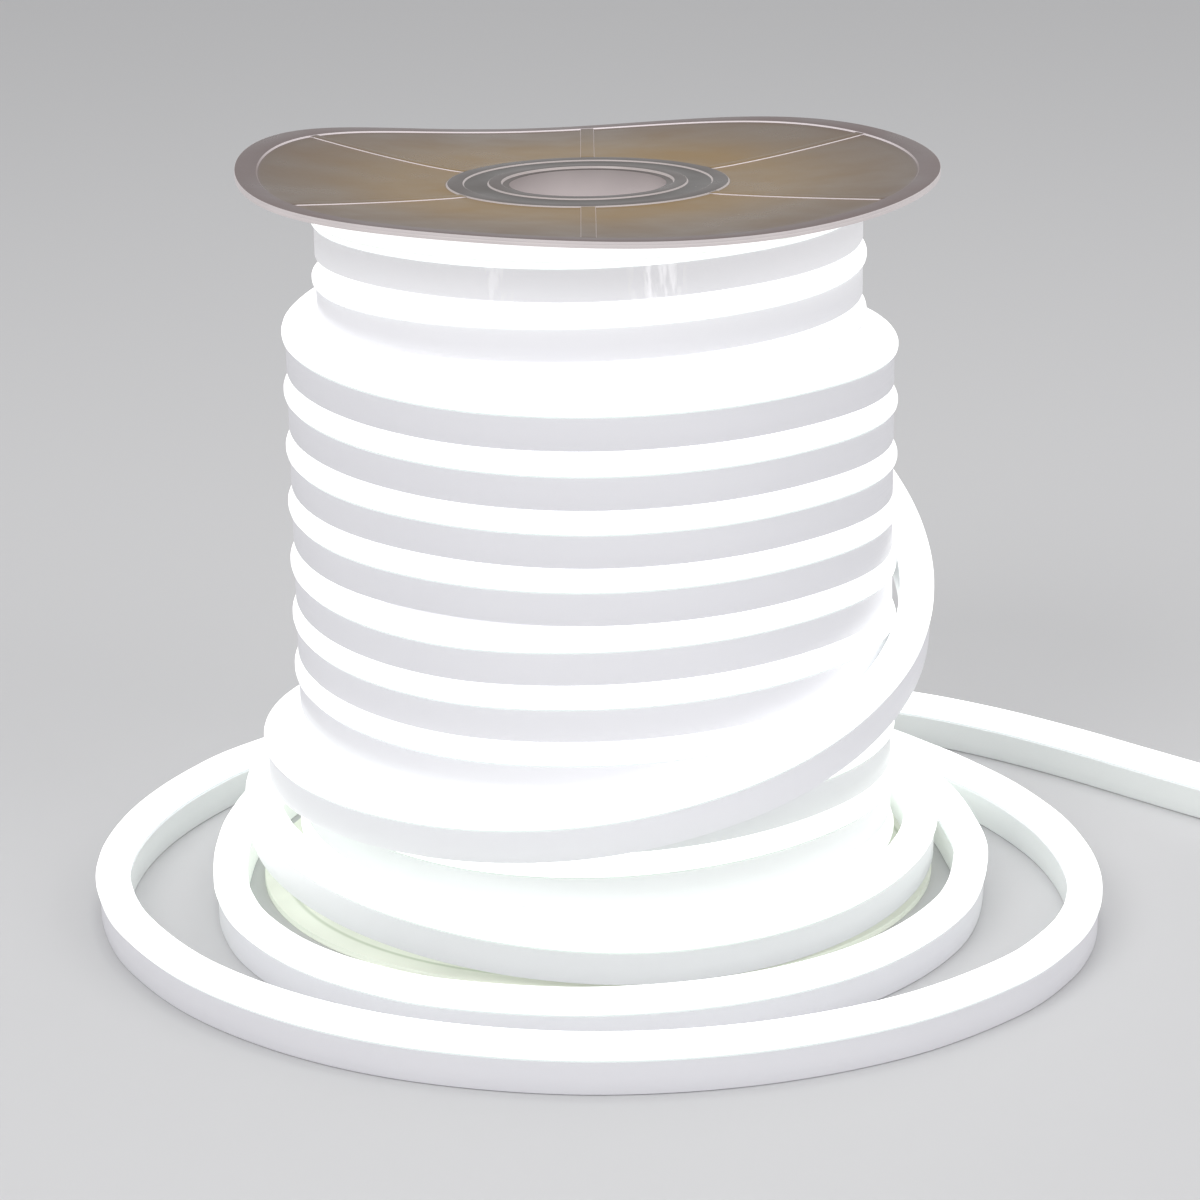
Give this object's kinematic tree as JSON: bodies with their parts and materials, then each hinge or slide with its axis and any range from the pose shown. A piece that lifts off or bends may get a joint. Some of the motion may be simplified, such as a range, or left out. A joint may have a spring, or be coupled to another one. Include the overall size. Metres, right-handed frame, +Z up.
{
  "type": "led strip light",
  "caption": "White LED neon-flex strip with a domed milky diffuser, wound on a two-flange plastic reel, its free end lying in wide loops on the floor.",
  "frame": {"origin": "on the reel's axis, in the plane that the bottom flange stands on", "axes": "+Z up along the reel's axis; -Y towards the viewer; the free end runs out to +X"},
  "size_m": [0.5892, 0.5, 0.3528],
  "materials": {
    "reel_plastic": "translucent moulded plastic, satin",
    "core_plastic": "matt",
    "strip_channel": "opaque white flexible PVC, satin",
    "strip_diffuser": "milky flexible PVC, lit cool white",
    "end_cap": "satin white"
  },
  "bodies": {
    "root": {"reel_bottom_flange": "reel_plastic", "reel_top_flange": "reel_plastic", "reel_core_tube": "core_plastic", "covered_windings": "strip_channel", "inner_turns_channel": "strip_channel", "inner_turns_diffuser": "strip_diffuser", "wound_strip_channel": "strip_channel", "wound_strip_diffuser": "strip_diffuser", "tail_channel": "strip_channel", "tail_diffuser": "strip_diffuser", "tail_end_cap": "end_cap"}
  },
  "joints": []
}
